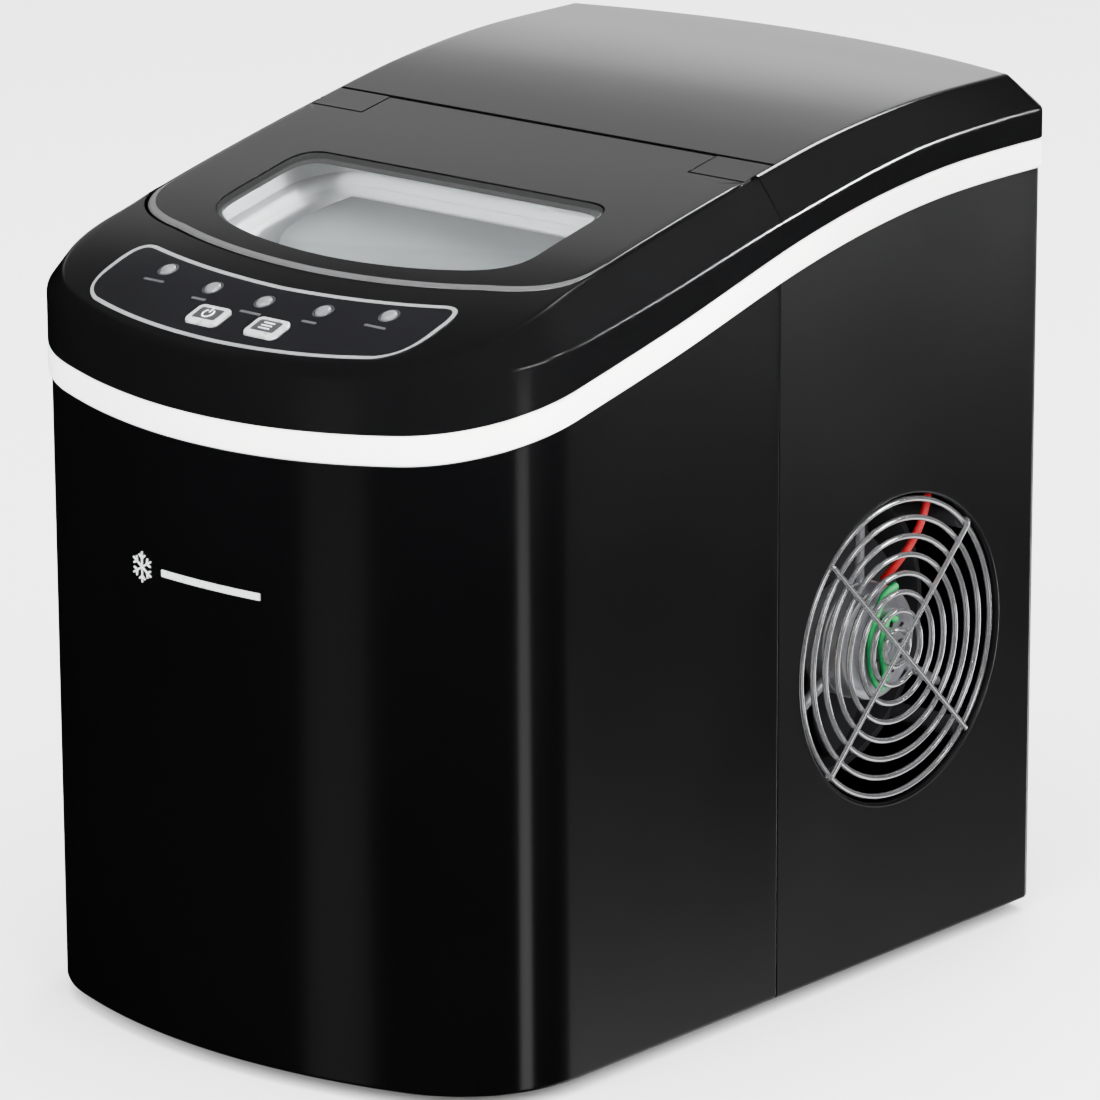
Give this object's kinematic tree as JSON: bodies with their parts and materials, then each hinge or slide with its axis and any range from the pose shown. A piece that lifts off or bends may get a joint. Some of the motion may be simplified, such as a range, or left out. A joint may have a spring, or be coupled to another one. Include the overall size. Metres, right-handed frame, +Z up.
{
  "type": "countertop ice maker",
  "caption": "Countertop ice maker with a sloping black cover, windowed lid, white trim band, button panel and a round wire fan guard on its side.",
  "frame": {"origin": "on the floor under the middle of the machine's outline", "axes": "+Z up, +Y towards the back, +X towards the side with the fan guard"},
  "size_m": [0.2386, 0.3538, 0.3291],
  "materials": {
    "front_gloss": "glossy black",
    "side_satin": "satin black",
    "front_paint": "glossy black enamel",
    "white_trim": "satin white",
    "cover_gloss": "polished black",
    "clear_pane": "clear",
    "chrome_wire": "bright plated",
    "zinc_steel": "zinc plated",
    "bare_aluminium": "satin",
    "copper_tube": "bare copper",
    "black_rubber": "matt",
    "dark_moulding": "matt black",
    "pale_moulding": "light grey",
    "foam": "foamed",
    "board_green": "lacquered board",
    "lamp_lens": "unlit lens",
    "silver_button": "silver",
    "red_sleeve": "red",
    "green_sleeve": "green",
    "hose_clear": "milky silicone"
  },
  "bodies": {
    "machine": {"front_shell": "front_paint", "rear_shell": "side_satin", "base_tray": "dark_moulding", "trim_band": "white_trim", "fan_guard": "chrome_wire", "rear_cover": "cover_gloss", "front_frame": "cover_gloss", "hinge_pin_left": "zinc_steel", "hinge_pin_right": "zinc_steel", "panel_overlay": "front_gloss", "tub": "pale_moulding", "tub_collar": "pale_moulding", "insulation": "foam", "evaporator": "bare_aluminium", "evaporator_cover": "pale_moulding", "tray_motor": "dark_moulding", "water_pump": "dark_moulding", "pump_hose": "hose_clear", "ice_full_sensor": "dark_moulding", "drain_fitting": "dark_moulding", "compressor": "dark_moulding", "compressor_bracket": "zinc_steel", "condenser": "bare_aluminium", "fan_shroud": "dark_moulding", "fan_motor": "bare_aluminium", "discharge_line": "copper_tube", "suction_line": "copper_tube", "filter_drier": "copper_tube", "capillary_tube": "copper_tube", "hot_gas_valve": "zinc_steel", "control_board": "board_green", "power_board": "board_green", "red_lead": "red_sleeve", "green_lead": "green_sleeve", "cable_gland": "black_rubber", "foot_front_right": "black_rubber", "foot_front_left": "black_rubber", "foot_rear_right": "black_rubber", "foot_rear_left": "black_rubber", "rear_screw_1": "zinc_steel", "rear_screw_2": "zinc_steel", "rear_screw_3": "zinc_steel", "rear_screw_4": "zinc_steel", "indicator_lamp_1": "lamp_lens", "indicator_lamp_2": "lamp_lens", "indicator_lamp_3": "lamp_lens", "indicator_lamp_4": "lamp_lens", "indicator_lamp_5": "lamp_lens"},
    "lid": {"lid_frame": "cover_gloss", "lid_window": "clear_pane"},
    "power_key": {"power_button": "silver_button"},
    "select_key": {"select_button": "silver_button"},
    "fan": {"fan_rotor": "dark_moulding"},
    "basket": {"ice_basket": "pale_moulding"},
    "tray": {"water_tray": "pale_moulding"},
    "shovel": {"ice_shovel": "pale_moulding"},
    "drain_plug": {"drain_cap": "black_rubber"}
  },
  "joints": [
    {"name": "lid_hinge", "type": "hinge", "parent": "machine", "child": "lid", "pos_m": [0, 0.0035, 0.3095], "axis": [-1, 0, 0], "range_deg": [0, 100]},
    {"name": "power_press", "type": "slide", "parent": "machine", "child": "power_key", "axis": [0, 0.3322, -0.9432], "range_m": [0, 0.001], "stiffness_N_per_m": 900},
    {"name": "select_press", "type": "slide", "parent": "machine", "child": "select_key", "axis": [0, 0.3322, -0.9432], "range_m": [0, 0.001], "stiffness_N_per_m": 900},
    {"name": "fan_spin", "type": "hinge", "parent": "machine", "child": "fan", "pos_m": [0.0735, 0.0733, 0.124], "axis": [1, 0, 0], "continuous": true},
    {"name": "basket_lift", "type": "slide", "parent": "machine", "child": "basket", "axis": [0, 0, 1], "range_m": [0, 0.018]},
    {"name": "tray_tilt", "type": "hinge", "parent": "machine", "child": "tray", "pos_m": [0, -0.035, 0.24], "axis": [1, 0, 0], "range_deg": [0, 50]},
    {"name": "shovel_sweep", "type": "hinge", "parent": "machine", "child": "shovel", "pos_m": [0, -0.035, 0.24], "axis": [1, 0, 0], "range_deg": [-140, 0]},
    {"name": "drain_cap_turn", "type": "hinge", "parent": "machine", "child": "drain_plug", "pos_m": [0, -0.09, 0.003], "axis": [0, 0, 1], "continuous": true}
  ],
  "couplings": [
    {"joint": "shovel_sweep", "follows": "tray_tilt", "ratio": -2.6}
  ]
}
